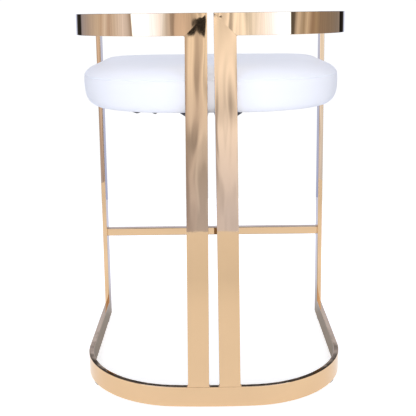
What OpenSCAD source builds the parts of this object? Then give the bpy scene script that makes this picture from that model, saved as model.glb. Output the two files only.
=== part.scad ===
// Counter-height bar stool: a hoop frame of flat tube with a padded seat and a footrest.
// The origin is on the floor under the middle of the stool, and +Z is up.
// The open front faces -Y, the two back uprights stand at +Y, and the sitter's left is +X.

/* [Frame] */
// Overall width of the frame
frame_w = 530; // [510:2:560]
// Overall depth, from the front of the legs to the back of the hoop
frame_d = 500; // [486:2:540]
// Overall height, from the floor to the top of the hoop
frame_h = 743; // [720:1:790]
// Height of the flat tube's broad face
tube_w = 40; // [36:1:42]
// Thickness of the flat tube
tube_t = 10; // [9:0.5:11]
// Wall of the flat tube
tube_wall = 1.5; // [1:0.1:2]
// Outer radius of the hoop's rear corners
corner_r = 200; // [180:5:210]
// Outer radius of the shallow arc across the back
back_r = 1300; // [1000:50:1800]

/* [Back uprights] */
// Gap between the two uprights at the top of the hoop
gap_top = 11; // [8:0.5:16]
// Gap between the two uprights where they stand on the base rail
gap_base = 20; // [16:1:26]
// Radius of the ground weld fillets in the uprights' corners
weld_r = 2.5; // [1.5:0.5:4]

/* [Footrest and seat rail] */
// Side of the square tube used for both bars
bar_side = 18; // [16:1:20]
// Wall of the square tube
bar_wall = 1.5; // [1:0.1:2]
// Height of the footrest's top face above the floor
footrest_top = 228; // [180:1:280]

/* [Seat] */
// Height of the seat's underside above the floor
seat_under = 563; // [540:1:575]
// Full thickness of the seat at the crown
seat_h = 88; // [80:1:96]
// Height of the perimeter seam above the seat's underside
seam_h = 60; // [48:1:66]
// Gap between the cushion and the frame around it
seat_clearance = 1; // [0.5:0.5:3]
// Thickness of the plywood seat board
board_t = 15; // [12:1:18]
// Thickness of the leatherette cover
cover_t = 1.5; // [1:0.1:2]
// Thickness of the dust cover cloth
dust_t = 0.8; // [0.6:0.1:1]

/* [Seat brackets] */
// Thickness of the bracket's plate
plate_t = 4; // [3:1:8]
// Length of the plate from the upright towards the front
plate_len = 75; // [70:1:90]
// How far the plate flares past the upright's outer edge
plate_flare = 12; // [8:1:16]
// Thickness of the gusset under the plate
gusset_t = 5; // [4:1:6]
// Height of the gusset where it meets the upright
gusset_h = 40; // [30:1:50]

/* [Glides] */
// Height of the glide pads that the base rail stands on
glide_h = 3; // [2:0.5:4]
// Length of a glide pad along the rail
glide_len = 20; // [16:1:26]
// Radius of the glide's push-in stem
stem_r = 2.5; // [2:0.25:3]

/* [Hidden] */

LEFT = 1;
RIGHT = -1;
SIDES = [LEFT, RIGHT];

GOLD = [0.87, 0.68, 0.42];
BLACK_STEEL = [0.08, 0.08, 0.09];
PLYWOOD = [0.80, 0.66, 0.46];
FOAM = [0.95, 0.90, 0.70];
LEATHERETTE = [0.96, 0.96, 0.97];
DUST_CLOTH = [0.12, 0.12, 0.13];
ZINC = [0.72, 0.73, 0.75];
NYLON = [0.85, 0.84, 0.82];

// Flats on the hoop's left half: along half of the back arc, and round the corner
back_steps = 10;
corner_steps = 38;
// Facets for the display mesh of a round hole or stem
hole_fn = 32;
// Extra length of a cutting solid past what it cuts
cut = 5;
// Long enough to pass the whole stool
far = 2 * frame_h;

half_w = frame_w / 2;
half_d = frame_d / 2;
base_top = glide_h + tube_w;

// The hoop's plan is a shallow back arc that runs tangent into two corner arcs,
// which run tangent into straight side rails.
back_angle = asin((half_w - corner_r) / (back_r - corner_r));
back_centre_y = half_d - back_r;
corner_x = (back_r - corner_r) * sin(back_angle);
corner_y = back_centre_y + (back_r - corner_r) * cos(back_angle);
corner_step = (90 - back_angle) / (corner_steps + 1);

// The uprights lean apart towards the base and are turned to follow the back arc.
lean = atan((gap_base - gap_top) / 2 / (frame_h - base_top));
turn = asin((gap_top + tube_w) / 2 / back_r);
upright_y = back_centre_y + sqrt(pow(back_r, 2) - pow(gap_top / 2, 2));
function upright_edge_x(along, z) = gap_top / 2 + along * cos(turn) + (frame_h - z) * tan(lean);

// Front bars, between the inner faces of the legs
bar_len = frame_w - 2 * tube_t;
footrest_y = -half_d + tube_w / 2;
seat_rail_y = -half_d + 31;

// Seat layers, from the underside up: dust cover, cover hem, board, foam, cover
hem_bottom = seat_under + dust_t;
board_bottom = hem_bottom + cover_t;
board_top = board_bottom + board_t;
seam_z = seat_under + seam_h;
foam_h = seat_h - dust_t - 2 * cover_t;
cushion_inset = tube_t + seat_clearance;
foam_inset = cushion_inset + cover_t;
board_inset = foam_inset + 22;
board_front_inset = foam_inset + 11;
hem_w = 45;
dust_inset = cushion_inset + 29;
front_bow_r = 2000;
front_corner_r = 25;
// Foam outline at each level: [part of the foam's height, how far the outline pulls in]
FOAM_LEVELS = [
    [0, 18], [0.05, 11], [0.14, 6], [0.26, 3], [0.42, 1], [0.56, 0],
    [0.68, 0.5], [0.78, 5], [0.87, 15], [0.935, 31], [0.975, 58], [1, 110]
];
// Part of that pull that the front edge takes
front_pull = 0.55;

// Fasteners
screw_r = 3;
screw_clearance_r = 3.3;
head_r = 5.5;
head_h = 3.3;
socket_r = 2.3;
socket_depth = 2;
washer_r = 6;
washer_t = 1.2;
nut_flange_r = 9.5;
nut_flange_t = 1.5;
nut_barrel_r = 3.9;
nut_barrel_h = 10;
nut_bore_r = 3.05;
screw_tip = board_top - 0.5;
// Places on a bracket's plate, [along the upright's face, forward of it]
BRACKET_HOLES = [[8, 52], [37, 52]];
// Places along the front seat rail
RAIL_HOLES_X = [-120, 0, 120];

staple_crown = 10;
staple_leg = 8;
staple_wire = 0.7;
staple_inset = cushion_inset + 35;
SIDE_STAPLES_Y = [-175 : 41 : 30];
CORNER_STAPLE_ANGLES = [5 : 14 : 75];
FRONT_STAPLES_X = [-160 : 64 : 160];
front_staple_y = -half_d + 44;

rear_glide_angle = 28;
front_glide_y = -200;
glide_w = tube_t - 1;
stem_h = 9;

// ---- Helpers ----

// Mirrors its children to the sitter's right, or leaves them on the left.
module on_side(side) {
    mirror([side == RIGHT ? 1 : 0, 0, 0]) children();
}

// An outline drawn in (Y, Z), extruded across the whole stool.
module across(points) {
    rotate([90, 0, 90])
        linear_extrude(height = far, center = true)
            polygon(points);
}

// The leg's side of the 45 degree mitre at a frame corner.
// The leg leaves the corner upwards (1) or downwards (-1).
module leg_side_of_mitre(corner_z, direction) {
    across([
        [-half_d - cut, corner_z - direction * cut],
        [-half_d + far, corner_z + direction * far],
        [-half_d - cut, corner_z + direction * far]
    ]);
}

// The upright's side of the 45 degree mitre at the top of the left upright.
module upright_side_of_mitre() {
    inner = gap_top / 2;
    rotate([90, 0, 0])
        linear_extrude(height = far, center = true)
            polygon([
                [inner - cut, frame_h + cut],
                [inner + far, frame_h - far],
                [-far, frame_h - far],
                [-far, frame_h + cut]
            ]);
}

// Points on an arc about [x, y], measured clockwise from +Y.
function arc_points(x, y, r, from, to, steps) =
    [for (i = [0 : steps]) let (a = from + (to - from) * i / steps) [x + r * sin(a), y + r * cos(a)]];

function reversed(points) = [for (i = [len(points) - 1 : -1 : 0]) points[i]];

// The left half of the hoop's plan at a depth inside its outer face.
// It runs from the middle of the back, round the corner, to the front of the side rail.
function half_line(depth) = concat(
    arc_points(0, back_centre_y, back_r - depth, 0, back_angle, back_steps),
    arc_points(corner_x, corner_y, corner_r - depth, back_angle + corner_step, 90, corner_steps),
    [[half_w - depth, -half_d]]
);

// The same line over the whole hoop, from the right front to the left front.
function full_line(depth) = concat(
    [for (p = reversed(half_line(depth))) if (p[0] > 0) [-p[0], p[1]]],
    half_line(depth)
);

// The flat tube's body between two lines of the plan, with its section pulled in by inset.
module hoop_body(outer_line, inner_line, z_low, inset) {
    translate([0, 0, z_low + inset])
        linear_extrude(height = tube_w - 2 * inset)
            polygon(concat(outer_line, reversed(inner_line)));
}

module half_hoop(z_low, inset) {
    hoop_body(half_line(inset), half_line(tube_t - inset), z_low, inset);
}

module full_hoop(z_low, inset) {
    hoop_body(full_line(inset), full_line(tube_t - inset), z_low, inset);
}

// Moves to the inner top edge of the left upright: X runs outwards along its rear face.
module at_upright() {
    translate([gap_top / 2, upright_y, frame_h])
        rotate([0, -lean, 0])
            rotate([0, 0, -turn])
                children();
}

// Moves to the inner edge of an upright's front face, level with the seat's underside.
module at_bracket(side) {
    on_side(side)
        translate([upright_edge_x(0, seat_under), upright_y, seat_under])
            rotate([0, 0, -turn])
                translate([0, -tube_t, 0])
                    children();
}

// Moves to each bolt through the brackets, at the seat's underside.
module at_rear_bolts() {
    for (side = SIDES, hole = BRACKET_HOLES)
        at_bracket(side)
            translate([hole[0], -hole[1], 0])
                children();
}

// Moves to each bolt through the front seat rail, at the seat's underside.
module at_front_bolts() {
    for (x = RAIL_HOLES_X)
        translate([x, seat_rail_y, seat_under])
            children();
}

module at_all_bolts() {
    at_rear_bolts() children();
    at_front_bolts() children();
}

// Moves to a glide under the base rail, with X along the rail.
module at_glide(side, rear) {
    on_side(side)
        if (rear)
            translate([corner_x, corner_y, 0])
                rotate([0, 0, rear_glide_angle])
                    translate([corner_r - tube_t / 2, 0, 0])
                        rotate([0, 0, 90])
                            children();
        else
            translate([half_w - tube_t / 2, front_glide_y, 0])
                rotate([0, 0, 90])
                    children();
}

module at_all_glides() {
    for (side = SIDES, rear = [true, false])
        at_glide(side, rear) children();
}

// ---- Frame ----

module base_rail() {
    color(GOLD)
        difference() {
            full_hoop(glide_h, 0);
            full_hoop(glide_h, tube_wall);
            leg_side_of_mitre(glide_h, 1);
            at_all_glides()
                cylinder(h = glide_h + tube_wall + cut, r = stem_r, $fn = hole_fn);
        }
}

module front_leg(side) {
    color(GOLD)
        on_side(side)
            intersection() {
                difference() {
                    translate([half_w - tube_t, -half_d, glide_h])
                        cube([tube_t, tube_w, frame_h - glide_h]);
                    translate([half_w - tube_t + tube_wall, -half_d + tube_wall, 0])
                        cube([tube_t - 2 * tube_wall, tube_w - 2 * tube_wall, frame_h + cut]);
                }
                leg_side_of_mitre(glide_h, 1);
                leg_side_of_mitre(frame_h, -1);
            }
}

module arm_rail(side) {
    hoop_bottom = frame_h - tube_w;
    color(GOLD)
        on_side(side)
            difference() {
                half_hoop(hoop_bottom, 0);
                half_hoop(hoop_bottom, tube_wall);
                leg_side_of_mitre(frame_h, -1);
                upright_side_of_mitre();
            }
}

module back_upright(side) {
    tall = frame_h - base_top + cut;
    color(GOLD)
        on_side(side)
            intersection() {
                at_upright()
                    difference() {
                        translate([0, -tube_t, -tall])
                            cube([tube_w, tube_t, tall + cut]);
                        translate([tube_wall, -tube_t + tube_wall, -tall - cut])
                            cube([tube_w - 2 * tube_wall, tube_t - 2 * tube_wall, tall + 3 * cut]);
                    }
                upright_side_of_mitre();
                translate([-far / 2, -far / 2, base_top])
                    cube([far, far, frame_h - base_top]);
            }
}

// A concave fillet that fills the corner between two edges of the tube.
// It opens along X by x_way and along Z by z_way, and is as thick as the tube.
module weld_fillet(along, z, x_way, z_way) {
    translate([upright_edge_x(along, z), upright_y - along * sin(turn), z])
        rotate([0, 0, -turn])
            rotate([90, 0, 0])
                linear_extrude(height = tube_t)
                    mirror([x_way < 0 ? 1 : 0, 0])
                        mirror([0, z_way < 0 ? 1 : 0])
                            difference() {
                                square(weld_r);
                                translate([weld_r, weld_r])
                                    circle(r = weld_r, $fn = hole_fn);
                            }
}

module frame_welds() {
    color(GOLD)
        for (side = SIDES)
            on_side(side) {
                weld_fillet(tube_w, frame_h - tube_w, 1, -1);
                weld_fillet(tube_w, base_top, 1, 1);
                weld_fillet(0, base_top, -1, 1);
            }
}

// A square tube between the legs, centred on y, with its top face at top_z.
module front_bar(y, top_z) {
    difference() {
        translate([-bar_len / 2, y - bar_side / 2, top_z - bar_side])
            cube([bar_len, bar_side, bar_side]);
        translate([-bar_len / 2 - cut, y - bar_side / 2 + bar_wall, top_z - bar_side + bar_wall])
            cube([bar_len + 2 * cut, bar_side - 2 * bar_wall, bar_side - 2 * bar_wall]);
    }
}

module footrest_bar() {
    color(GOLD) front_bar(footrest_y, footrest_top);
}

module front_seat_rail() {
    color(GOLD)
        difference() {
            front_bar(seat_rail_y, seat_under);
            at_front_bolts()
                translate([0, 0, -bar_side - cut])
                    cylinder(h = bar_side + 2 * cut, r = screw_clearance_r, $fn = hole_fn);
        }
}

// ---- Seat brackets ----

// A flat plate that fans out from the upright and carries the seat board.
module seat_bracket(side) {
    outer = tube_w + plate_flare;
    chamfer = 10;
    color(BLACK_STEEL)
        at_bracket(side)
            translate([0, 0, -plate_t])
                difference() {
                    linear_extrude(height = plate_t)
                        polygon([
                            [0, 0],
                            [tube_w, 0],
                            [outer, -4 * plate_flare],
                            [outer, chamfer - plate_len],
                            [outer - chamfer, -plate_len],
                            [chamfer, -plate_len],
                            [0, chamfer - plate_len]
                        ]);
                    for (hole = BRACKET_HOLES)
                        translate([hole[0], -hole[1], -cut])
                            cylinder(h = plate_t + 2 * cut, r = screw_clearance_r, $fn = hole_fn);
                }
}

module bracket_gusset(side) {
    reach = plate_len - 15;
    color(BLACK_STEEL)
        at_bracket(side)
            translate([(tube_w - gusset_t) / 2, 0, -plate_t])
                rotate([90, 0, 90])
                    linear_extrude(height = gusset_t)
                        polygon([[0, 0], [0, -gusset_h], [-reach, 0]]);
}

// ---- Seat ----

// The seat's plan: the hoop's plan pulled in by inset, closed by a slightly bowed front edge
// that pulls in by front_inset.
module seat_plan(inset, front_inset) {
    bow_angle = asin((half_w - inset) / front_bow_r);
    bow_y = -half_d + front_bow_r;
    offset(r = front_corner_r, $fn = hole_fn)
        offset(delta = -front_corner_r)
            polygon(concat(
                arc_points(0, back_centre_y, back_r - inset, -back_angle, back_angle, 4),
                arc_points(corner_x, corner_y, corner_r - inset, back_angle + 5, 90, 16),
                arc_points(0, bow_y, front_bow_r - front_inset + tube_t, 180 - bow_angle, 180 + bow_angle, 8),
                arc_points(-corner_x, corner_y, corner_r - inset, 270, 355 - back_angle, 16)
            ));
}

// The cushion's crowned body, grown outwards on every side by grow.
module cushion_form(grow) {
    hull()
        for (level = FOAM_LEVELS) {
            rise = level[0] < 0.5 ? (level[0] == 0 ? -grow : 0) : grow;
            translate([0, 0, board_bottom + foam_h * level[0] + rise])
                linear_extrude(height = 0.01)
                    seat_plan(foam_inset + level[1] - grow, foam_inset + front_pull * level[1] - grow);
        }
}

module seat_board() {
    color(PLYWOOD)
        difference() {
            translate([0, 0, board_bottom])
                linear_extrude(height = board_t)
                    seat_plan(board_inset, board_front_inset);
            at_all_bolts() t_nut_body();
            at_all_bolts()
                cylinder(h = seat_h, r = nut_barrel_r, $fn = hole_fn);
            staple_legs();
        }
}

module seat_foam() {
    color(FOAM)
        difference() {
            cushion_form(0);
            translate([0, 0, board_bottom - cut])
                linear_extrude(height = board_t + cut)
                    seat_plan(board_inset, board_front_inset);
        }
}

// The leatherette skin around foam and board, with a hem folded under the board.
module cover_skin() {
    difference() {
        cushion_form(cover_t);
        cushion_form(0);
        translate([0, 0, hem_bottom - cut])
            linear_extrude(height = 2 * cut)
                seat_plan(cushion_inset + hem_w, cushion_inset + hem_w);
    }
}

module seat_cover_top() {
    color(LEATHERETTE)
        intersection() {
            cover_skin();
            translate([-far / 2, -far / 2, seam_z])
                cube([far, far, far]);
        }
}

module seat_cover_band() {
    color(LEATHERETTE)
        difference() {
            cover_skin();
            translate([-far / 2, -far / 2, seam_z])
                cube([far, far, far]);
            staple_legs();
        }
}

module dust_cover() {
    color(DUST_CLOTH)
        difference() {
            translate([0, 0, seat_under])
                linear_extrude(height = dust_t)
                    seat_plan(dust_inset, dust_inset);
            at_all_bolts()
                translate([0, 0, -cut])
                    cylinder(h = 2 * cut, r = screw_clearance_r, $fn = hole_fn);
            staple_legs();
        }
}

// ---- Fasteners ----

// A button-head screw that points up, with its head's flat side at depth below the seat.
module seat_screw(depth) {
    translate([0, 0, -depth]) {
        cylinder(h = depth + screw_tip - seat_under, r = screw_r, $fn = hole_fn);
        translate([0, 0, -head_h])
            difference() {
                cylinder(h = head_h, r1 = head_r - 1.5, r2 = head_r, $fn = hole_fn);
                translate([0, 0, -cut])
                    cylinder(h = socket_depth + cut, r = socket_r, $fn = 6);
            }
    }
}

module rear_seat_screws() {
    color(ZINC) at_rear_bolts() seat_screw(plate_t + washer_t);
}

module front_seat_screws() {
    color(ZINC) at_front_bolts() seat_screw(bar_side + washer_t);
}

module seat_washer(depth) {
    translate([0, 0, -depth - washer_t])
        difference() {
            cylinder(h = washer_t, r = washer_r, $fn = hole_fn);
            translate([0, 0, -cut])
                cylinder(h = washer_t + 2 * cut, r = screw_clearance_r, $fn = hole_fn);
        }
}

module seat_washers() {
    color(ZINC) {
        at_rear_bolts() seat_washer(plate_t);
        at_front_bolts() seat_washer(bar_side);
    }
}

// The outside of a pronged insert nut, let into the top of the seat board.
module t_nut_body() {
    prong = [1.2, 3, 7];
    translate([0, 0, board_top - seat_under]) {
        translate([0, 0, -nut_flange_t])
            cylinder(h = nut_flange_t, r = nut_flange_r, $fn = hole_fn);
        translate([0, 0, -nut_barrel_h])
            cylinder(h = nut_barrel_h, r = nut_barrel_r, $fn = hole_fn);
        for (angle = [45 : 90 : 315])
            rotate([0, 0, angle])
                translate([nut_flange_r - 3, -prong[1] / 2, -prong[2]])
                    cube(prong);
    }
}

module t_nuts() {
    color(ZINC)
        at_all_bolts()
            difference() {
                t_nut_body();
                cylinder(h = seat_h, r = nut_bore_r, $fn = hole_fn);
            }
}

// Moves to each staple, with X along the edge of the seat.
module at_staples() {
    for (side = SIDES)
        on_side(side) {
            for (y = SIDE_STAPLES_Y)
                translate([half_w - staple_inset, y, seat_under])
                    rotate([0, 0, 90])
                        children();
            for (angle = CORNER_STAPLE_ANGLES)
                translate([corner_x, corner_y, seat_under])
                    rotate([0, 0, angle])
                        translate([corner_r - staple_inset, 0, 0])
                            rotate([0, 0, 90])
                                children();
        }
    for (x = FRONT_STAPLES_X)
        translate([x, front_staple_y, seat_under])
            children();
}

module staple_legs() {
    at_staples()
        for (end = [-1, 1])
            translate([end * (staple_crown - staple_wire) / 2, 0, staple_leg / 2])
                cube([staple_wire, staple_wire, staple_leg], center = true);
}

module staples() {
    color(ZINC) {
        staple_legs();
        at_staples()
            translate([0, 0, -staple_wire / 2])
                cube([staple_crown, staple_wire, staple_wire], center = true);
    }
}

// ---- Glides ----

// A pad with round ends under the rail, held by a stem pressed into the tube.
module glide(side, rear) {
    color(NYLON)
        at_glide(side, rear) {
            translate([-(glide_len - glide_w) / 2, -glide_w / 2, 0])
                cube([glide_len - glide_w, glide_w, glide_h]);
            for (end = [-1, 1])
                translate([end * (glide_len - glide_w) / 2, 0, 0])
                    cylinder(h = glide_h, r = glide_w / 2, $fn = hole_fn);
            cylinder(h = glide_h + stem_h, r = stem_r, $fn = hole_fn);
        }
}

base_rail();
front_leg(LEFT);  // front_leg_left
front_leg(RIGHT);  // front_leg_right
arm_rail(LEFT);  // arm_rail_left
arm_rail(RIGHT);  // arm_rail_right
back_upright(LEFT);  // back_upright_left
back_upright(RIGHT);  // back_upright_right
frame_welds();
footrest_bar();
front_seat_rail();
seat_bracket(LEFT);  // seat_bracket_left
seat_bracket(RIGHT);  // seat_bracket_right
bracket_gusset(LEFT);  // bracket_gusset_left
bracket_gusset(RIGHT);  // bracket_gusset_right
seat_board();
seat_foam();
seat_cover_top();
seat_cover_band();
dust_cover();
rear_seat_screws();
front_seat_screws();
seat_washers();
t_nuts();
staples();
glide(LEFT, false);  // glide_front_left
glide(RIGHT, false);  // glide_front_right
glide(LEFT, true);  // glide_rear_left
glide(RIGHT, true);  // glide_rear_right
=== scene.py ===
"""Looks for a counter-height bar stool: gold flat-tube hoop frame, white leatherette seat."""

import math

import bpy
import numpy as np
from mathutils import Matrix, Vector, noise


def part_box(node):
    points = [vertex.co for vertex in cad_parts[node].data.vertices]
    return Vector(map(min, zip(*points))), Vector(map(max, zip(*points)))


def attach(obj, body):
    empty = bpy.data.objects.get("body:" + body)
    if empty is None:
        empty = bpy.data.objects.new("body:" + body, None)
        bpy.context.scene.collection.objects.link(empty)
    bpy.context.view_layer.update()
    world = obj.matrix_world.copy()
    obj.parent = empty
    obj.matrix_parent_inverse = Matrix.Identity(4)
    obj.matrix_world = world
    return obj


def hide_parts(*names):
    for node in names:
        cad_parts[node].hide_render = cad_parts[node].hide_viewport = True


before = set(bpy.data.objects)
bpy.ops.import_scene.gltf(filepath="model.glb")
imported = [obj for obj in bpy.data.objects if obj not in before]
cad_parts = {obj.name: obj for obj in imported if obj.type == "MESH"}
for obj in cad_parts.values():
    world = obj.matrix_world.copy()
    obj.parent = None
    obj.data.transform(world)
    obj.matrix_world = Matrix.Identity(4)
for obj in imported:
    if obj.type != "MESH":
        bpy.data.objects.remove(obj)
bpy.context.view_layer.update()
MM = 0.001

# ---- Places taken from the frame ----

RAIL_LOW, RAIL_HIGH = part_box("base_rail")
ARM_LOW, ARM_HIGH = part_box("arm_rail_left")
BAND_LOW, BAND_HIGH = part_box("seat_cover_band")
TOP_LOW, TOP_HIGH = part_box("seat_cover_top")
CLOTH_LOW, CLOTH_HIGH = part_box("dust_cover")
BAR_LOW, BAR_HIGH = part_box("footrest_bar")
BRACKET_LOW, BRACKET_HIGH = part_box("seat_bracket_left")
SEAT_RAIL_LOW, SEAT_RAIL_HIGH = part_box("front_seat_rail")

# ---- The hoop's plan, which the seat follows ----

HALF_W = RAIL_HIGH.x
HALF_D = RAIL_HIGH.y
CORNER_R = 200 * MM
BACK_R = 1300 * MM
SEAT_GAP = HALF_W - BAND_HIGH.x
FRONT_BOW_R = 2000 * MM
FRONT_CORNER_R = 34 * MM
BACK_ANGLE = math.asin((HALF_W - CORNER_R) / (BACK_R - CORNER_R))
BACK_CENTRE_Y = HALF_D - BACK_R
CORNER_X = (BACK_R - CORNER_R) * math.sin(BACK_ANGLE)
CORNER_Y = BACK_CENTRE_Y + (BACK_R - CORNER_R) * math.cos(BACK_ANGLE)

# ---- Camera ----

CAMERA_PLACE = (2.6 * MM, 1678.5 * MM, 744.5 * MM)
CAMERA_PITCH_DOWN = 0.1790
CAMERA_YAW = -0.0030
CAMERA_ROLL = -0.0117
CAMERA_LENS = 69.76
CAMERA_SHIFT_Y = -0.1211


# ---- Node helpers ----

# Where a Mix node keeps its factor and its two colours, and its colour result
MIX_INPUTS = (0, 6, 7)
MIX_OUTPUT = 2


class Nodes:
    """Short calls for making and joining nodes in one tree."""

    def __init__(self, tree):
        self.tree = tree

    def add(self, kind, settings=None, **inputs):
        node = self.tree.nodes.new(kind)
        for name, value in (settings or {}).items():
            setattr(node, name, value)
        for name, value in inputs.items():
            self.feed(node.inputs[name.replace("_", " ")], value)
        return node

    def feed(self, socket, value):
        if isinstance(value, bpy.types.NodeSocket):
            self.tree.links.new(value, socket)
        else:
            socket.default_value = value

    def math(self, operation, *values):
        node = self.tree.nodes.new("ShaderNodeMath")
        node.operation = operation
        for socket, value in zip(node.inputs, values):
            self.feed(socket, value)
        return node.outputs[0]

    def ramp(self, value, stops):
        node = self.tree.nodes.new("ShaderNodeValToRGB")
        while len(node.color_ramp.elements) < len(stops):
            node.color_ramp.elements.new(1.0)
        for element, (position, colour) in zip(node.color_ramp.elements, stops):
            element.position = position
            element.color = (*colour, 1) if len(colour) == 3 else colour
        self.feed(node.inputs["Fac"], value)
        return node.outputs["Color"]

    def noise(self, vector, scale, detail=2.0, roughness=0.5):
        settings = {"Scale": scale, "Detail": detail, "Roughness": roughness}
        return self.add("ShaderNodeTexNoise", Vector=vector, **settings).outputs[0]

    def varied(self, value, least, spread):
        """A number that grows from least by the value's share of spread."""
        return self.math("MULTIPLY_ADD", value, spread, least)

    def blend(self, factor, first, second, mode="MIX"):
        """A colour between first and second, or another mix of the two, by the factor."""
        node = self.add("ShaderNodeMix", {"data_type": "RGBA", "blend_type": mode})
        for socket, value in zip(MIX_INPUTS, (factor, first, second)):
            self.feed(node.inputs[socket], value)
        return node.outputs[MIX_OUTPUT]

    def multiplied(self, first, second):
        node = self.tree.nodes.new("ShaderNodeVectorMath")
        node.operation = "MULTIPLY"
        self.feed(node.inputs[0], first)
        self.feed(node.inputs[1], second)
        return node.outputs["Vector"]

    def stretched(self, vector, scale):
        return self.add("ShaderNodeMapping", Vector=vector, Scale=scale).outputs["Vector"]

    def bump(self, height, distance, after=None):
        node = self.add("ShaderNodeBump", Height=height, Distance=distance, Strength=1.0)
        if after is not None:
            self.feed(node.inputs["Normal"], after)
        return node.outputs["Normal"]


def grey(value):
    return (value, value, value)


def new_material(name):
    material = bpy.data.materials.new(name)
    material.use_nodes = True
    material.node_tree.nodes.clear()
    nodes = Nodes(material.node_tree)
    shader = nodes.add("ShaderNodeBsdfPrincipled")
    output = nodes.add("ShaderNodeOutputMaterial")
    nodes.feed(output.inputs["Surface"], shader.outputs["BSDF"])
    place = nodes.add("ShaderNodeTexCoord").outputs["Object"]
    return material, nodes, shader, place


def mixed(nodes, factor, low, high):
    """A colour between low and high."""
    return nodes.ramp(factor, [(0.3, low), (0.7, high)])


# ---- Materials ----

PLY_THICK = 1.5 * MM


def gold_plate():
    """Polished gold plating: slightly wavy from grinding, with hairlines and faint smudges."""
    material, nodes, shader, place = new_material("gold_plate")
    tone = nodes.noise(place, scale=9.0, detail=3.0)
    nodes.feed(shader.inputs["Base Color"], mixed(nodes, tone, (0.72, 0.495, 0.29), (0.75, 0.515, 0.30)))
    shader.inputs["Metallic"].default_value = 1.0
    smudge = nodes.noise(place, scale=30.0, detail=4.0, roughness=0.6)
    hairline = nodes.noise(nodes.stretched(place, (2500.0, 2500.0, 60.0)), scale=1.0)
    smudged = nodes.varied(smudge, least=0.008, spread=0.025)
    nodes.feed(shader.inputs["Roughness"], nodes.varied(hairline, least=smudged, spread=0.01))
    wave = nodes.noise(nodes.stretched(place, (26.0, 26.0, 5.0)), scale=1.0, detail=1.0)
    waved = nodes.bump(wave, distance=0.3 * MM)
    nodes.feed(shader.inputs["Normal"], nodes.bump(hairline, distance=0.0004 * MM, after=waved))
    return material


def black_steel():
    """Powder-coated steel: satin black with a fine orange peel."""
    material, nodes, shader, place = new_material("black_steel")
    tone = nodes.noise(place, scale=40.0, detail=3.0)
    nodes.feed(shader.inputs["Base Color"], mixed(nodes, tone, (0.012, 0.012, 0.013), (0.022, 0.021, 0.021)))
    peel = nodes.noise(place, scale=1400.0)
    nodes.feed(shader.inputs["Roughness"], nodes.varied(tone, least=0.38, spread=0.15))
    nodes.feed(shader.inputs["Normal"], nodes.bump(peel, distance=0.04 * MM))
    return material


def zinc_steel():
    """Zinc-plated fasteners: bluish grey, brushed and a little cloudy."""
    material, nodes, shader, place = new_material("zinc_steel")
    cloud = nodes.noise(place, scale=220.0, detail=4.0, roughness=0.6)
    nodes.feed(shader.inputs["Base Color"], mixed(nodes, cloud, (0.50, 0.51, 0.53), (0.66, 0.67, 0.69)))
    shader.inputs["Metallic"].default_value = 1.0
    nodes.feed(shader.inputs["Roughness"], nodes.varied(cloud, least=0.24, spread=0.18))
    scratch = nodes.noise(nodes.stretched(place, (4000.0, 900.0, 900.0)), scale=1.0)
    nodes.feed(shader.inputs["Normal"], nodes.bump(scratch, distance=0.01 * MM))
    return material


def nylon():
    """Moulded nylon glide: off-white, satin, scuffed."""
    material, nodes, shader, place = new_material("nylon")
    scuff = nodes.noise(place, scale=300.0, detail=4.0, roughness=0.6)
    nodes.feed(shader.inputs["Base Color"], mixed(nodes, scuff, (0.50, 0.47, 0.43), (0.60, 0.58, 0.54)))
    nodes.feed(shader.inputs["Roughness"], nodes.varied(scuff, least=0.35, spread=0.25))
    nodes.feed(shader.inputs["Normal"], nodes.bump(scuff, distance=0.03 * MM))
    return material


def plywood():
    """Birch plywood: pale plies along Z, fine grain along X on the faces."""
    material, nodes, shader, place = new_material("plywood")
    grain = nodes.noise(nodes.stretched(place, (8.0, 320.0, 320.0)), scale=1.0, detail=4.0, roughness=0.6)
    height = nodes.add("ShaderNodeSeparateXYZ", Vector=place).outputs["Z"]
    ply = nodes.math("PINGPONG", height, PLY_THICK)
    cross_ply = nodes.math("GREATER_THAN", ply, PLY_THICK / 2)
    face = mixed(nodes, grain, (0.50, 0.34, 0.19), (0.66, 0.49, 0.30))
    darker = nodes.math("MULTIPLY", cross_ply, 0.35)
    plies = nodes.blend(darker, face, (0.62, 0.48, 0.34, 1), mode="MULTIPLY")
    nodes.feed(shader.inputs["Base Color"], plies)
    nodes.feed(shader.inputs["Roughness"], nodes.varied(grain, least=0.55, spread=0.2))
    nodes.feed(shader.inputs["Normal"], nodes.bump(grain, distance=0.08 * MM))
    return material


def leatherette():
    """White leatherette: pebbled grain of about a millimetre, soft sheen, faint tonal drift."""
    material, nodes, shader, place = new_material("leatherette")
    drift = nodes.noise(place, scale=7.0, detail=3.0)
    nodes.feed(shader.inputs["Base Color"], mixed(nodes, drift, (0.855, 0.86, 0.895), (0.885, 0.888, 0.915)))
    pebble = nodes.add(
        "ShaderNodeTexVoronoi", {"feature": "SMOOTH_F1"}, Vector=place, Scale=780.0, Randomness=0.9
    ).outputs["Distance"]
    pore = nodes.noise(place, scale=2600.0)
    crease = nodes.noise(place, scale=240.0, detail=3.0, roughness=0.6)
    creased = nodes.varied(crease, least=pebble, spread=0.5)
    grain = nodes.varied(pore, least=creased, spread=0.25)
    nodes.feed(shader.inputs["Roughness"], nodes.varied(crease, least=0.40, spread=0.16))
    shader.inputs["Specular IOR Level"].default_value = 0.42
    shader.inputs["Sheen Weight"].default_value = 0.08
    shader.inputs["Sheen Roughness"].default_value = 0.5
    nodes.feed(shader.inputs["Normal"], nodes.bump(grain, distance=0.09 * MM))
    return material


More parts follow.
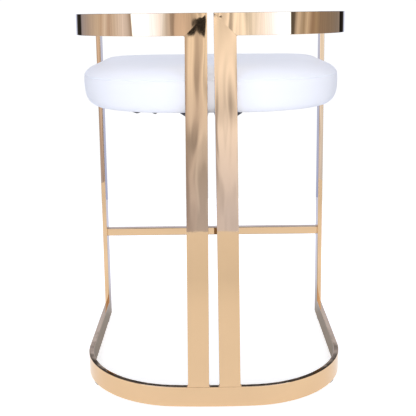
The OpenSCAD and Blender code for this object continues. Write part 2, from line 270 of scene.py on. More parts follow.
def dust_cloth():
    """Black spun-bonded dust cloth: dull, with a dimpled bond pattern."""
    material, nodes, shader, place = new_material("dust_cloth")
    fibre = nodes.noise(place, scale=1600.0, detail=4.0, roughness=0.7)
    dimple = nodes.add(
        "ShaderNodeTexVoronoi", {"feature": "F1"}, Vector=place, Scale=520.0, Randomness=0.15
    ).outputs["Distance"]
    nodes.feed(shader.inputs["Base Color"], mixed(nodes, fibre, (0.010, 0.010, 0.011), (0.030, 0.030, 0.032)))
    shader.inputs["Sheen Weight"].default_value = 0.15
    nodes.feed(shader.inputs["Roughness"], nodes.varied(fibre, least=0.82, spread=0.1))
    height = nodes.varied(fibre, least=dimple, spread=0.4)
    nodes.feed(shader.inputs["Normal"], nodes.bump(height, distance=0.15 * MM))
    return material


MATERIALS = {
    "gold_plate": gold_plate(),
    "black_steel": black_steel(),
    "zinc_steel": zinc_steel(),
    "nylon": nylon(),
    "plywood": plywood(),
    "leatherette": leatherette(),
    "dust_cloth": dust_cloth(),
}

GOLD_NODES = [
    "base_rail", "front_leg_left", "front_leg_right", "arm_rail_left", "arm_rail_right",
    "back_upright_left", "back_upright_right", "frame_welds", "footrest_bar", "front_seat_rail",
]
NODE_MATERIALS = {
    "gold_plate": GOLD_NODES,
    "black_steel": [
        "seat_bracket_left", "seat_bracket_right", "bracket_gusset_left", "bracket_gusset_right",
    ],
    "plywood": ["seat_board"],
    "zinc_steel": ["rear_seat_screws", "front_seat_screws", "seat_washers", "t_nuts", "staples"],
    "nylon": ["glide_front_left", "glide_front_right", "glide_rear_left", "glide_rear_right"],
}


def dress(node_name, material):
    """Gives a CAD node its material."""
    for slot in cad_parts[node_name].material_slots:
        slot.material = material


# ---- Rounded edges on the CAD nodes ----

def weld_plane(normal, through):
    """The plane of a ground weld, as its normal and its distance along it."""
    n = Vector(normal).normalized()
    return n, n.dot(Vector(through))


FRONT_LOW = weld_plane((0, -1, 1), (0, RAIL_LOW.y, RAIL_LOW.z))
FRONT_TOP = weld_plane((0, 1, 1), (0, RAIL_LOW.y, ARM_HIGH.z))
UPRIGHT_LEFT = weld_plane((1, 0, 1), (ARM_LOW.x, 0, ARM_HIGH.z))
UPRIGHT_RIGHT = weld_plane((-1, 0, 1), (-ARM_LOW.x, 0, ARM_HIGH.z))
UPRIGHT_FOOT = weld_plane((0, 0, 1), (0, 0, RAIL_HIGH.z))
BAR_END_LEFT = weld_plane((1, 0, 0), (BAR_HIGH.x, 0, 0))
BAR_END_RIGHT = weld_plane((1, 0, 0), (BAR_LOW.x, 0, 0))

WELDS = {
    "base_rail": [FRONT_LOW],
    "front_leg_left": [FRONT_LOW, FRONT_TOP],
    "front_leg_right": [FRONT_LOW, FRONT_TOP],
    "arm_rail_left": [FRONT_TOP, UPRIGHT_LEFT],
    "arm_rail_right": [FRONT_TOP, UPRIGHT_RIGHT],
    "back_upright_left": [UPRIGHT_LEFT, UPRIGHT_FOOT],
    "back_upright_right": [UPRIGHT_RIGHT, UPRIGHT_FOOT],
    "footrest_bar": [BAR_END_LEFT, BAR_END_RIGHT],
    "front_seat_rail": [BAR_END_LEFT, BAR_END_RIGHT],
}
SHARP_ANGLE = math.radians(40)
IN_PLANE = 0.1 * MM
SAME_POINT = 0.01 * MM
FRAME_ROUND = 1.2 * MM
SMALL_ROUND = 0.5 * MM


def edge_picker(name, planes):
    """A node group that marks sharp edges for rounding, apart from those that lie in a weld.

    It also drops the imported normals and shades every edge smooth that isn't in a weld.
    """
    tree = bpy.data.node_groups.new(name, "GeometryNodeTree")
    tree.interface.new_socket("Geometry", in_out="INPUT", socket_type="NodeSocketGeometry")
    tree.interface.new_socket("Geometry", in_out="OUTPUT", socket_type="NodeSocketGeometry")
    nodes = Nodes(tree)
    ends = nodes.add("GeometryNodeInputMeshEdgeVertices")
    angle = nodes.add("GeometryNodeInputMeshEdgeAngle").outputs["Unsigned Angle"]
    welded = 0.0
    for normal, distance in planes:
        inside = 1.0
        for end in ("Position 1", "Position 2"):
            dot = nodes.add("ShaderNodeVectorMath", {"operation": "DOT_PRODUCT"})
            nodes.feed(dot.inputs[0], ends.outputs[end])
            nodes.feed(dot.inputs[1], tuple(normal))
            away = nodes.math("ABSOLUTE", nodes.math("SUBTRACT", dot.outputs["Value"], distance))
            near = nodes.math("LESS_THAN", away, IN_PLANE)
            inside = nodes.math("MULTIPLY", near, inside)
        welded = nodes.math("MAXIMUM", inside, welded)
    sharp = nodes.math("GREATER_THAN", angle, SHARP_ANGLE)
    weight = nodes.math("MULTIPLY", sharp, nodes.math("SUBTRACT", 1.0, welded))
    source = nodes.add("NodeGroupInput").outputs["Geometry"]
    stored = nodes.add("GeometryNodeStoreNamedAttribute", {"data_type": "FLOAT", "domain": "EDGE"})
    nodes.feed(stored.inputs["Geometry"], source)
    nodes.feed(stored.inputs["Name"], "bevel_weight_edge")
    nodes.feed(stored.inputs["Value"], weight)
    plain = nodes.add("GeometryNodeRemoveAttribute", Name="custom_normal")
    nodes.feed(plain.inputs["Geometry"], stored.outputs["Geometry"])
    faces = nodes.add("GeometryNodeSetShadeSmooth", {"domain": "FACE"})
    nodes.feed(faces.inputs[0], plain.outputs["Geometry"])
    edges = nodes.add("GeometryNodeSetShadeSmooth", {"domain": "EDGE"})
    nodes.feed(edges.inputs[0], faces.outputs["Geometry"])
    nodes.feed(edges.inputs["Shade Smooth"], nodes.math("LESS_THAN", welded, 0.5))
    nodes.feed(nodes.add("NodeGroupOutput").inputs["Geometry"], edges.outputs["Geometry"])
    return tree


def round_edges(node_name, width, segments=2):
    """Rounds a CAD node's sharp edges with modifiers, which leave its own mesh alone."""
    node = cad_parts[node_name]
    weld = node.modifiers.new("weld_points", "WELD")
    weld.merge_threshold = SAME_POINT
    picker = node.modifiers.new("pick_edges", "NODES")
    picker.node_group = edge_picker("edges_" + node_name, WELDS.get(node_name, []))
    bevel = node.modifiers.new("round_edges", "BEVEL")
    bevel.limit_method = "WEIGHT"
    bevel.width = width
    bevel.segments = segments
    bevel.use_clamp_overlap = True
    shade = node.modifiers.new("even_shading", "WEIGHTED_NORMAL")
    shade.keep_sharp = True
    shade.weight = 60


# ---- The seat's plan ----

def arc(centre_x, centre_y, radius, start, stop, steps):
    """Points on an arc, with its angles in radians, clockwise from +Y."""
    angles = np.linspace(start, stop, steps)
    return np.stack([centre_x + radius * np.sin(angles), centre_y + radius * np.cos(angles)], axis=1)


def half_plan(inset):
    """The seat's outline from the middle of the back, round the left side, to the middle of the front."""
    bow_y = BAND_LOW.y + FRONT_BOW_R
    bow_r = FRONT_BOW_R - inset
    side_x = HALF_W - SEAT_GAP - inset
    fillet_x = side_x - FRONT_CORNER_R
    fillet_y = bow_y - math.sqrt((bow_r - FRONT_CORNER_R) ** 2 - fillet_x ** 2)
    turn = math.atan2(fillet_x, fillet_y - bow_y)
    pull = SEAT_GAP + inset
    return np.concatenate([
        arc(0, BACK_CENTRE_Y, BACK_R - pull, 0, BACK_ANGLE, steps=40),
        arc(CORNER_X, CORNER_Y, CORNER_R - pull, BACK_ANGLE, math.pi / 2, steps=160),
        arc(fillet_x, fillet_y, FRONT_CORNER_R, math.pi / 2, turn, steps=40),
        arc(0, bow_y, bow_r, turn, math.pi, steps=120),
    ])


def resampled(points, count):
    """The same open line as count + 1 points an equal distance apart."""
    steps = np.linalg.norm(np.diff(points, axis=0), axis=1)
    along = np.concatenate([[0], np.cumsum(steps)])
    even = np.linspace(0, along[-1], count + 1)
    return np.stack([np.interp(even, along, points[:, axis]) for axis in (0, 1)], axis=1)


def closed_plan(inset, half_count):
    """The whole outline as 2 * half_count points, from the middle of the back round the left side."""
    left = resampled(half_plan(inset), half_count)
    right = left[1:-1][::-1] * (-1, 1)
    return np.concatenate([left, right])


def ring_faces(rings, count):
    """Quads between rings of count points, with a fan of triangles onto a point at each end."""
    faces = []
    for ring in range(rings - 1):
        for i in range(count):
            j = (i + 1) % count
            low = ring * count
            faces.append((low + i, low + count + i, low + count + j, low + j))
    first, last = rings * count, rings * count + 1
    for i in range(count):
        j = (i + 1) % count
        faces.append((first, i, j))
        faces.append((last, (rings - 1) * count + j, (rings - 1) * count + i))
    return faces


def capped(rings):
    """The rings' points in one list, with the middles of the first and the last ring at its end."""
    return np.concatenate([rings.reshape(-1, 3), [rings[0].mean(axis=0), rings[-1].mean(axis=0)]])


def lumps(point, per_metre, shift=(0, 0, 0)):
    """Smooth noise at a point, with about so many lumps per metre along each axis."""
    return noise.noise(Vector([c * n + s for c, n, s in zip(point, per_metre, shift)]))


def mesh_object(name, points, faces):
    mesh = bpy.data.meshes.new(name)
    mesh.from_pydata([tuple(p) for p in points], [], faces)
    mesh.polygons.foreach_set("use_smooth", [True] * len(mesh.polygons))
    mesh.validate()
    mesh.update()
    item = bpy.data.objects.new(name, mesh)
    bpy.context.scene.collection.objects.link(item)
    return item


# ---- Cushion ----

CUSHION_BOTTOM = CLOTH_HIGH.z
SEAM_Z = TOP_LOW.z
CROWN_Z = TOP_HIGH.z
HIGHEST_Z = CROWN_Z + 4 * MM
SEAM_INSET = 1.0 * MM
HALF_SEGMENTS = 160
# Each ring of the cushion's side: how far it pulls in (mm), and its share of the way
# from the underside up to the seam, or from the seam up to the crown.
LOWER_RINGS = [
    (150, 0.0), (110, 0.0), (78, 0.0), (54, 0.0), (37, 0.0), (27, 0.004), (20, 0.025), (14, 0.085),
    (9, 0.16), (5, 0.27), (2.4, 0.39), (1.0, 0.51), (0.3, 0.63), (0.0, 0.76), (0.0, 0.88),
]
UPPER_RINGS = [
    (0.4, 0.07), (1.3, 0.15), (3.0, 0.26), (6.0, 0.40), (10, 0.53), (15, 0.65), (22, 0.76), (32, 0.85),
    (46, 0.91), (66, 0.95), (90, 0.975), (118, 0.988), (150, 0.995), (180, 0.999), (210, 1.0), (238, 1.0),
]
# A ring shrinks along Y towards the first number here, by the second as a share of its shrinking along X
LOWER_SHRINK = (0.0, 0.6)
UPPER_SHRINK = (-60 * MM, 1.0)
# Before it swells the cushion rises this share of the way to its crown and is pulled in this much
START_RISE = 0.93
START_PULL = 0.8 * MM
MOST_SWELL = 5 * MM
SWELL_FRAMES = 20
SEAM_RING = len(LOWER_RINGS)
# The seam and the lowest rings are held fast, and the rest this firmly
HELD_RINGS = 5
SOFT_HOLD = 0.25
# Rings of the finished cover near the seam, as steps from the seam's own ring
SEAM_STEPS = [-0.5, -0.3, -0.18, -0.1, -0.05, 0.0, 0.05, 0.1, 0.18, 0.3, 0.5]
# The groove and the puckers fade with the distance from the seam, counted in rings
GROOVE_DEPTH = 1.3 * MM
GROOVE_HALF = 0.13
PUCKER_HEIGHT = 0.35 * MM
PUCKER_HALF = 1.1
PUCKERS_PER_METRE = (62, 62, 14)
SLACK_HEIGHT = 0.7 * MM
SLACKS_PER_METRE = (11, 11, 18)
SLACK_SHIFT = (0, 0, 5)


def cushion_rings():
    """Points of the cushion before it swells, as an array of ring, place round the ring, and X, Y, Z."""
    outline = closed_plan(0.0, HALF_SEGMENTS)
    rings = []
    for pull, share in LOWER_RINGS:
        z = CUSHION_BOTTOM + share * (SEAM_Z - CUSHION_BOTTOM)
        rings.append((START_PULL + pull * MM, z, LOWER_SHRINK))
    rings.append((SEAM_INSET, SEAM_Z, UPPER_SHRINK))
    for pull, share in UPPER_RINGS:
        z = SEAM_Z + START_RISE * share * (CROWN_Z - SEAM_Z)
        rings.append((START_PULL + pull * MM, z, UPPER_SHRINK))
    made = []
    for pull, z, (line_y, along_y) in rings:
        x = outline[:, 0] * (1 - pull / HALF_W)
        y = line_y + (outline[:, 1] - line_y) * (1 - along_y * pull / HALF_W)
        made.append(np.column_stack([x, y, np.full(len(x), z)]))
    return np.array(made)


def swell(rings):
    """Runs cloth with air pressure on the cushion, held along the seam and under the board.

    Only the swelling outwards is kept, so that the cover never sinks into the foam.
    """
    ring_count, count = rings.shape[:2]
    points = capped(rings)
    pillow = mesh_object("cushion_start", points, ring_faces(ring_count, count))
    held = pillow.vertex_groups.new(name="held")
    fixed = list(range(HELD_RINGS * count)) + [SEAM_RING * count + i for i in range(count)]
    fixed.append(ring_count * count)
    held.add(list(range(len(points))), SOFT_HOLD, "REPLACE")
    held.add(fixed, 1.0, "REPLACE")
    cloth = pillow.modifiers.new("swell", "CLOTH")
    cloth.settings.quality = 6
    cloth.settings.mass = 0.4
    cloth.settings.tension_stiffness = 40
    cloth.settings.compression_stiffness = 40
    cloth.settings.shear_stiffness = 20
    cloth.settings.bending_stiffness = 4
    cloth.settings.use_pressure = True
    cloth.settings.uniform_pressure_force = 4
    cloth.settings.vertex_group_mass = "held"
    cloth.settings.effector_weights.gravity = 0
    cloth.collision_settings.use_self_collision = False
    scene = bpy.context.scene
    for step in range(1, SWELL_FRAMES + 1):
        scene.frame_set(step)
    shown = pillow.evaluated_get(bpy.context.evaluated_depsgraph_get())
    moved = np.array([v.co for v in shown.data.vertices])
    bpy.data.objects.remove(pillow)
    scene.frame_set(1)
    change = (moved - points)[: ring_count * count].reshape(rings.shape)
    out = outward(rings)
    swelled = np.sum(change * out, axis=2, keepdims=True)
    return rings + out * np.clip(swelled, 0, MOST_SWELL)


def kept_inside(rings):
    """Keeps the cushion within the seat's outline, above its underside and below its highest level."""
    limit = closed_plan(0.0, HALF_SEGMENTS)
    away = np.linalg.norm(limit, axis=1)
    reach = np.linalg.norm(rings[:, :, :2], axis=2)
    shrink = np.minimum(1, away[None, :] / np.maximum(reach, 1e-9))
    rings[:, :, :2] *= shrink[:, :, None]
    rings[:, :, 2] = np.clip(rings[:, :, 2], CUSHION_BOTTOM, HIGHEST_Z)
    return rings


def between(rings, place):
    """The ring at a fractional place among rings, on a smooth curve through them."""
    last = len(rings) - 1
    i = min(int(place), last - 1)
    t = place - i
    before, a, b, after = (rings[min(max(k, 0), last)] for k in (i - 1, i, i + 1, i + 2))
    return 0.5 * (
        2 * a + (b - before) * t
        + (2 * before - 5 * a + 4 * b - after) * t ** 2
        + (3 * a - before - 3 * b + after) * t ** 3
    )


def cover_places():
    """Where the finished cover's rings lie among the rings that swelled."""
    last = len(LOWER_RINGS) + len(UPPER_RINGS)
    even = [i / 2 for i in range(2 * last + 1)]
    away_from_seam = [p for p in even if abs(p - SEAM_RING) > 0.5]
    return sorted(away_from_seam + [SEAM_RING + step for step in SEAM_STEPS])


def outward(rings):
    """Unit normals of a ring array, pointing out of the cushion."""
    along = np.roll(rings, -1, axis=1) - np.roll(rings, 1, axis=1)
    up = np.gradient(rings, axis=0)
    normal = np.cross(up, along)
    normal /= np.maximum(np.linalg.norm(normal, axis=2, keepdims=True), 1e-12)
    middle = np.array([0, 0, SEAM_Z])
    facing = np.sum(normal * (rings - middle), axis=2, keepdims=True)
    return normal * np.where(facing < 0, -1, 1)


def creases(rings, places):
    """How far each point stands off the smooth cover: groove at the seam, small puckers, soft slack."""
    offset = np.zeros(rings.shape[:2])
    for r, place in enumerate(places):
        gap = abs(place - SEAM_RING)
        groove = -GROOVE_DEPTH * math.exp(-((gap / GROOVE_HALF) ** 2))
        pucker = PUCKER_HEIGHT * math.exp(-((gap / PUCKER_HALF) ** 2))
        for i, point in enumerate(rings[r]):
            ripple = lumps(point, PUCKERS_PER_METRE)
            slack = lumps(point, SLACKS_PER_METRE, SLACK_SHIFT)
            offset[r, i] = groove + pucker * ripple + SLACK_HEIGHT * slack
    offset[rings[:, :, 2] < CUSHION_BOTTOM + 1.0 * MM] = 0
    return offset


def cushion():
    """The seat cushion: one closed cover over foam, with a sewn seam round its side."""
    rings = cushion_rings()
    rings = swell(rings)
    rings = kept_inside(rings)
    places = cover_places()
    fine = np.array([between(rings, p) for p in places])
    fine += outward(fine) * creases(fine, places)[:, :, None]
    fine = kept_inside(fine)
    pad = mesh_object("seat_cushion", capped(fine), ring_faces(len(places), fine.shape[1]))
    pad.data.materials.append(MATERIALS["leatherette"])
    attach(pad, "root")
    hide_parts("seat_cover_top", "seat_cover_band", "seat_foam")


# ---- Dust cloth under the seat ----

CLOTH_INSET = HALF_W - CLOTH_HIGH.x - SEAT_GAP
CLOTH_RINGS = [1.0, 0.985, 0.97, 0.95, 0.92, 0.88, 0.83, 0.77, 0.70, 0.62, 0.53, 0.43, 0.32, 0.21, 0.10]
CLOTH_HALF_SEGMENTS = 240
CLOTH_SAG = 1.6 * MM
# The sag starts over this distance from the metal, and over this share of the way in from the rim
METAL_REACH = 45 * MM
RIM_SHARE = 0.22
# The sag varies around its mean by soft lumps
SAG_MEAN = 0.6
SAG_SPREAD = 0.8
SAGS_PER_METRE = (16, 16, 0)
SAG_SHIFT = (0, 0, 3)
# Loose folds between staples at the back edge: where they are across the seat, and half their length
LOOSE_FOLDS = [(139 * MM, 7 * MM), (104 * MM, 4 * MM)]
FOLD_DROP = 4.0 * MM
# Where the folds are between the middle (0) and the rim (1), and half their width as the same share
FOLD_SHARE = 0.975
FOLD_HALF = 0.02


def clear_of(x, y, low, high):
    """How far a point lies outside a box in plan."""
    return math.hypot(max(low.x - x, x - high.x, 0), max(low.y - y, y - high.y, 0))


def cloth_drop(x, y, share):
    """How far the cloth hangs below the board: nothing where metal or staples hold it."""
    metal = min(
        clear_of(abs(x), y, BRACKET_LOW, BRACKET_HIGH),
        clear_of(x, y, SEAT_RAIL_LOW, SEAT_RAIL_HIGH),
    )
    free = min(1, metal / METAL_REACH) * min(1, (1 - share) / RIM_SHARE)
    ripple = SAG_MEAN + SAG_SPREAD * lumps((x, y, 0), SAGS_PER_METRE, SAG_SHIFT)
    drop = CLOTH_SAG * free * max(0, ripple)
    if y > 0:
        for fold_x, half in LOOSE_FOLDS:
            away = ((x - fold_x) / half) ** 2 + ((share - FOLD_SHARE) / FOLD_HALF) ** 2
            drop += FOLD_DROP * math.exp(-away)
    return drop


def dust_cover():
    """The black cloth stapled under the seat, as a thin closed sheet that hangs a little.

    Its rings run out over the upper side and back in under the lower one.
    """
    outline = closed_plan(CLOTH_INSET, CLOTH_HALF_SEGMENTS)
    rings = []
    for level, shares in ((CLOTH_HIGH.z, CLOTH_RINGS[::-1]), (CLOTH_LOW.z, CLOTH_RINGS)):
        for share in shares:
            rings.append([(x, y, level - cloth_drop(x, y, share)) for x, y in outline * share])
    faces = [face[::-1] for face in ring_faces(len(rings), len(outline))]
    cloth = mesh_object("dust_cloth", capped(np.array(rings)), faces)
    cloth.data.materials.append(MATERIALS["dust_cloth"])
    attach(cloth, "root")
    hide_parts("dust_cover")


# ---- Stage ----

FLOOR_R = 1510 * MM
FLOOR_SIDES = 96
# The floor's own light, and how much more of it the camera sees
FLOOR_GLOW = 0.52
EYE_GLOW = 0.12
# The floor is not shaded where it is outside the base loop but level with it: how far inside the
# loop's outer face that starts, and how far past its front and back ends it reaches
LOOP_INSIDE = 5 * MM
LOOP_PAST = 20 * MM
SOFT_LEVEL = 0.46
BACKDROP_LEVEL = 1.05
# What the metal sees of the floor, by its place along Y in metres: bright behind the stool, painted
# shade under it, and a dimmer bluish painted shade in front of it
FLOOR_SEEN = [
    (-1.0, (0.62, 0.70, 0.92)), (-0.5, (0.58, 0.64, 0.80)), (-0.25, grey(0.36)), (0.23, grey(0.34)),
    (0.25, grey(1.0)), (0.45, grey(0.90)), (0.8, grey(0.81)), (1.0, grey(0.72)),
]


def beside_loop(nodes, axis):
    """1 on the floor outside the base loop but level with it, and 0 elsewhere."""
    past_side = nodes.math("SUBTRACT", nodes.math("ABSOLUTE", axis["X"]), CORNER_X)
    past_corner = nodes.math("SUBTRACT", axis["Y"], CORNER_Y)
    reach = nodes.add(
        "ShaderNodeCombineXYZ",
        X=nodes.math("MAXIMUM", past_side, 0.0),
        Y=nodes.math("MAXIMUM", past_corner, 0.0),
    )
    length = nodes.add("ShaderNodeVectorMath", {"operation": "LENGTH"})
    nodes.feed(length.inputs[0], reach.outputs[0])
    outside = nodes.math("GREATER_THAN", length.outputs["Value"], CORNER_R - LOOP_INSIDE)
    level = nodes.math("COMPARE", axis["Y"], 0.0, HALF_D + LOOP_PAST)
    return nodes.math("MULTIPLY", outside, level)


def floor_material():
    """Pale matt floor. Reflected in the metal it is shaded by FLOOR_SEEN, but not beside the base loop."""
    material, nodes, shader, place = new_material("studio_floor")
    axis = nodes.add("ShaderNodeSeparateXYZ", Vector=place).outputs
    stops = [((y + 1) / 2, colour) for y, colour in FLOOR_SEEN]
    seen = nodes.ramp(nodes.varied(axis["Y"], least=0.5, spread=0.5), stops)
    ray = nodes.add("ShaderNodeLightPath").outputs
    hidden = nodes.math("SUBTRACT", 1.0, beside_loop(nodes, axis))
    # Painted shade on the floor, seen only in reflections in the metal and only inside the base loop
    shade = nodes.blend(nodes.math("MULTIPLY", ray["Is Glossy Ray"], hidden), (1, 1, 1, 1), seen)
    pale = mixed(nodes, nodes.noise(place, scale=3.0), grey(0.78), grey(0.80))
    nodes.feed(shader.inputs["Base Color"], nodes.multiplied(pale, shade))
    shader.inputs["Roughness"].default_value = 0.9
    shader.inputs["Specular IOR Level"].default_value = 0.1
    nodes.feed(shader.inputs["Emission Color"], shade)
    seen_glow = nodes.varied(ray["Is Camera Ray"], least=FLOOR_GLOW, spread=EYE_GLOW)
    glow = nodes.math("MULTIPLY", seen_glow, nodes.math("SUBTRACT", 1.0, ray["Is Diffuse Ray"]))
    nodes.feed(shader.inputs["Emission Strength"], glow)
    return material


def floor():
    angles = [2 * math.pi * i / FLOOR_SIDES for i in range(FLOOR_SIDES)]
    points = [(FLOOR_R * math.cos(a), FLOOR_R * math.sin(a), 0) for a in angles]
    ground = mesh_object("floor", points, [tuple(range(FLOOR_SIDES))])
    ground.data.materials.append(floor_material())


# The studio that the polished metal reflects, as light by compass direction in degrees: 0 is the side
# behind the stool, where the camera stands. One list runs to the sitter's left, the other to the right
PANEL = (2.4, 3.2, 4.8)
BRIGHTEST = max(PANEL)
PANEL_EDGE = (1.9, 2.1, 3.3)
FRONT_WALL = (0.61, 0.70, 0.96)
LEFT_STUDIO = [
    (0, (1.12, 1.13, 1.22)), (2.8, (1.05, 1.08, 1.15)), (4.2, (0.80, 0.76, 0.80)),
    (8.5, (0.62, 0.58, 0.62)), (11.5, (0.85, 0.95, 1.20)), (15, (1.22, 1.48, 2.05)),
    (22, (1.60, 1.85, 2.75)), (28, PANEL_EDGE), (35, PANEL), (47.8, PANEL), (49.5, (0.40, 0.38, 0.40)),
    (54, (0.71, 0.75, 0.94)), (60, (0.98, 1.06, 1.38)), (72, (0.80, 0.82, 0.95)),
    (79, (0.65, 0.60, 0.66)), (85, (0.93, 0.97, 1.15)), (92, (0.70, 0.66, 0.70)),
    (97, (0.78, 0.78, 0.85)), (116, (0.54, 0.55, 0.66)), (133, (0.42, 0.45, 0.60)),
    (137, grey(0.02)), (151, grey(0.04)), (156, FRONT_WALL), (180, FRONT_WALL),
]
RIGHT_STUDIO = [
    (0, (1.08, 1.13, 1.25)), (3, (1.15, 1.20, 1.35)), (9, (1.14, 1.27, 1.50)),
    (17, (1.30, 1.50, 2.00)), (22, (1.50, 1.70, 2.35)), (28, (1.60, 1.85, 2.75)), (35, PANEL_EDGE),
    (41, PANEL), (50, PANEL), (51.5, grey(0.13)), (55.5, grey(0.17)), (60, (0.88, 0.88, 0.93)),
    (67, (0.47, 0.44, 0.41)), (73, (0.82, 0.80, 0.80)), (79.5, (0.42, 0.35, 0.32)),
    (86, (0.50, 0.45, 0.40)), (92, (0.37, 0.33, 0.32)), (128, (0.30, 0.30, 0.33)),
    (134, (0.34, 0.33, 0.36)), (137, grey(0.01)), (151, grey(0.03)), (156, FRONT_WALL), (180, FRONT_WALL),
]
# Upright streaks in the reflection: how the noise is stretched, its tones, and their middle tone
STREAK_STRETCH = (40.0, 40.0, 2.5)
STREAK_TONES = [(0.42, grey(0.45)), (0.50, grey(0.80)), (0.58, grey(1.05))]
STREAK_MIDDLE = 0.8
# The streaks never fade more than this
MOST_CALM = 0.85
# How light falls off below the horizon, which is at 1, and the dark upper wall by the direction's Z
BELOW_HORIZON = [(0.1, (0.68, 0.72, 0.88)), (0.9, grey(1.0))]
UPPER_WALL = [(0.38, grey(1)), (0.42, grey(0.10)), (0.70, grey(0.12)), (0.92, grey(0.8))]
# The camera's dark reflection and a scrap of it in the other upright: compass direction and elevation
# in degrees, and half its size in each
CAMERA_SPOTS = [(-3.1, -0.85, 0.8, 0.9), (2.7, -0.1, 0.5, 0.25)]
SPOT_EDGE = [(0.86, grey(0.03)), (0.96, grey(1.0))]


def walls_seen(nodes, turn, share):
    """The studio's light by compass direction, as a share of its brightest light."""
    sides = []
    for studio in (LEFT_STUDIO, RIGHT_STUDIO):
        stops = [(a / 180, tuple(c / BRIGHTEST for c in colour)) for a, colour in studio]
        sides.append(nodes.ramp(share, stops))
    return nodes.blend(nodes.math("GREATER_THAN", turn, 0.0), *sides)


def streaks_seen(nodes, direction, share, height):
    """Upright streaks, which fade away from the horizon and from the camera's side."""
    streak = nodes.noise(nodes.stretched(direction, STREAK_STRETCH), scale=1.0)
    steep = nodes.varied(nodes.math("ABSOLUTE", height), least=-0.9, spread=6.0)
    aside = nodes.varied(share, least=-1.75, spread=45.0)
    calm = nodes.math("MINIMUM", nodes.math("MAXIMUM", steep, aside), MOST_CALM)
    return nodes.blend(calm, nodes.ramp(streak, STREAK_TONES), (*grey(STREAK_MIDDLE), 1))


def dark_spot(nodes, degrees, elevation, ragged, spot):
    """A ragged black spot in the studio."""
    turn, level, half_turn, half_level = spot
    across = nodes.math("DIVIDE", nodes.math("SUBTRACT", degrees, turn), half_turn)
    above = nodes.math("DIVIDE", nodes.math("SUBTRACT", elevation, level), half_level)
    squares = [nodes.math("MULTIPLY", offset, offset) for offset in (across, above)]
    away = nodes.math("SQRT", nodes.math("ADD", *squares))
    return nodes.ramp(nodes.math("ADD", away, ragged), SPOT_EDGE)


def reflected_studio(nodes, direction):
    """What the metal sees in each direction: panels and gaps, a dark upper wall, and the camera."""
    axis = nodes.add("ShaderNodeSeparateXYZ", Vector=direction).outputs
    turn = nodes.math("ARCTAN2", nodes.math("MULTIPLY", axis["X"], -1.0), axis["Y"])
    share = nodes.math("MULTIPLY", nodes.math("ABSOLUTE", turn), 1 / math.pi)
    depth = nodes.varied(axis["Z"], least=1.0, spread=3.7)
    factors = [
        streaks_seen(nodes, direction, share, axis["Z"]),
        nodes.ramp(depth, BELOW_HORIZON),
        nodes.ramp(axis["Z"], UPPER_WALL),
    ]
    degrees = nodes.math("MULTIPLY", turn, 180 / math.pi)
    elevation = nodes.math("MULTIPLY", axis["Z"], 180 / math.pi)
    ragged = nodes.varied(nodes.noise(direction, scale=55.0), least=-0.35, spread=0.7)
    factors += [dark_spot(nodes, degrees, elevation, ragged, spot) for spot in CAMERA_SPOTS]
    colour = walls_seen(nodes, turn, share)
    for factor in factors:
        colour = nodes.multiplied(colour, factor)
    return nodes.multiplied(colour, grey(BRIGHTEST / STREAK_MIDDLE))


def studio_world():
    """A white studio: plain light for the eye and for matt surfaces, panels and gaps for polished ones."""
    world = bpy.data.worlds.new("studio")
    bpy.context.scene.world = world
    world.use_nodes = True
    world.node_tree.nodes.clear()
    nodes = Nodes(world.node_tree)
    direction = nodes.add("ShaderNodeTexCoord").outputs["Generated"]
    height = nodes.add("ShaderNodeSeparateXYZ", Vector=direction).outputs["Z"]
    soft = nodes.ramp(height, [(0.0, (1.0, 1.0, 1.0)), (0.9, (0.66, 0.67, 0.76))])
    mirror = nodes.add("ShaderNodeBackground", Color=reflected_studio(nodes, direction))
    matt = nodes.add("ShaderNodeBackground", Color=soft, Strength=SOFT_LEVEL)
    backdrop = nodes.add("ShaderNodeBackground", Strength=BACKDROP_LEVEL)
    backdrop.inputs["Color"].default_value = (1, 1, 1, 1)
    ray = nodes.add("ShaderNodeLightPath").outputs
    lit = nodes.add("ShaderNodeMixShader", Fac=ray["Is Diffuse Ray"])
    nodes.feed(lit.inputs[1], mirror.outputs[0])
    nodes.feed(lit.inputs[2], matt.outputs[0])
    shown = nodes.add("ShaderNodeMixShader", Fac=ray["Is Camera Ray"])
    nodes.feed(shown.inputs[1], lit.outputs[0])
    nodes.feed(shown.inputs[2], backdrop.outputs[0])
    nodes.feed(nodes.add("ShaderNodeOutputWorld").inputs["Surface"], shown.outputs[0])


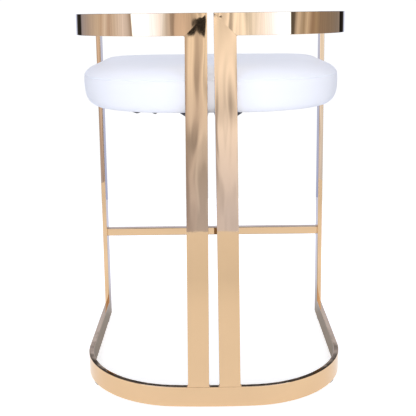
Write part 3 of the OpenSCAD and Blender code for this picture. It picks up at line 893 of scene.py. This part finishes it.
# Each soft light: its place, the point it faces, its size and its watts
LIGHTS = {
    "overhead": ((0, -0.4, 2.6), (0, -0.1, 0), (2.4, 2.4), 28),
    "behind": ((0, 3.0, 0.9), (0, 0, 0.6), (0.6, 0.8), 33),
    "left": ((2.8, 1.2, 0.9), (0, 0, 0.6), (1.0, 1.0), 16),
    "right": ((-2.8, 1.2, 0.9), (0, 0, 0.6), (1.0, 1.0), 16),
}


def soft_light(name, place, target, size, watts):
    lamp = bpy.data.lights.new(name, "AREA")
    lamp.shape = "RECTANGLE"
    lamp.size, lamp.size_y = size
    lamp.energy = watts
    item = bpy.data.objects.new(name, lamp)
    bpy.context.scene.collection.objects.link(item)
    item.location = place
    item.rotation_euler = (Vector(target) - Vector(place)).to_track_quat("-Z", "Y").to_euler()
    item.visible_camera = False
    item.visible_glossy = False


def camera():
    data = bpy.data.cameras.new("camera")
    data.sensor_width = 36
    data.lens = CAMERA_LENS
    data.shift_y = CAMERA_SHIFT_Y
    item = bpy.data.objects.new("camera", data)
    bpy.context.scene.collection.objects.link(item)
    sin_p, cos_p = math.sin(CAMERA_PITCH_DOWN), math.cos(CAMERA_PITCH_DOWN)
    sin_y, cos_y = math.sin(CAMERA_YAW), math.cos(CAMERA_YAW)
    sin_r, cos_r = math.sin(CAMERA_ROLL), math.cos(CAMERA_ROLL)
    ahead = Vector((-sin_y * cos_p, -cos_y * cos_p, -sin_p))
    level_right = Vector((-cos_y, sin_y, 0))
    level_down = Vector((sin_y * sin_p, cos_y * sin_p, -cos_p))
    right = level_right * cos_r - level_down * sin_r
    down = level_right * sin_r + level_down * cos_r
    turned = Matrix((right, -down, -ahead)).transposed().to_4x4()
    item.matrix_world = Matrix.Translation(CAMERA_PLACE) @ turned
    bpy.context.scene.camera = item


# ---- Build ----

for material_name, names in NODE_MATERIALS.items():
    for name in names:
        dress(name, MATERIALS[material_name])
for name in WELDS:
    round_edges(name, FRAME_ROUND, segments=3)
for name in NODE_MATERIALS["black_steel"] + NODE_MATERIALS["nylon"]:
    round_edges(name, SMALL_ROUND)

cushion()
dust_cover()
floor()
studio_world()
for name, settings in LIGHTS.items():
    soft_light(name, *settings)
camera()
bpy.context.scene.view_settings.view_transform = "Standard"
